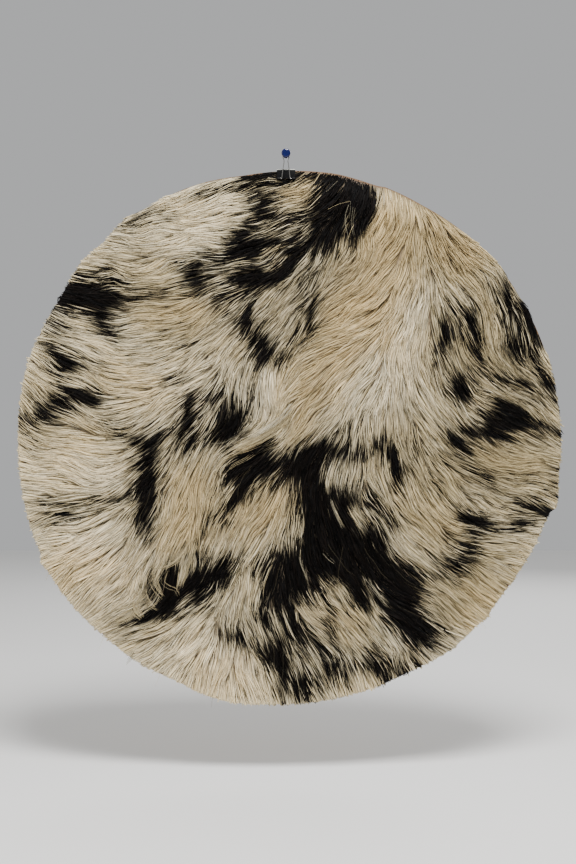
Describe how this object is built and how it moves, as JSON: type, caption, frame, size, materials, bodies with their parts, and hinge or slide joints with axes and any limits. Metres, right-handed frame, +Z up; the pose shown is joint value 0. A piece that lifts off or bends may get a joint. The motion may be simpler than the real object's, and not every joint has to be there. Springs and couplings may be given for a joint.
{
  "type": "hair-on goatskin hanging from a binder clip on a push pin",
  "caption": "Round goatskin with long black and cream hair, hung hair side out by a small binder clip whose wire handle is hooked over a push pin.",
  "frame": {"origin": "where the pin's needle enters the wall, on the wall plane y = 0", "axes": "+Z up, +Y into the wall, the hair side faces -Y, +X to the right as seen from the front"},
  "size_m": [0.5659, 0.0344, 0.5795],
  "materials": {
    "hair": "long straight goat hair, cream with black patches, soft sheen",
    "rawhide": "dried untanned hide, tan, half matt, brown at the cut edge",
    "black_steel": "black enamelled spring steel",
    "bright_wire": "nickel-plated steel wire",
    "needle_steel": "drawn steel needle",
    "blue_plastic": "translucent blue moulded plastic"
  },
  "bodies": {
    "root": {"goatskin": "hair", "clip_body": "black_steel", "clip_handle_front": "bright_wire", "clip_handle_back": "bright_wire", "pin_needle": "needle_steel", "pin_head": "blue_plastic"}
  },
  "joints": []
}
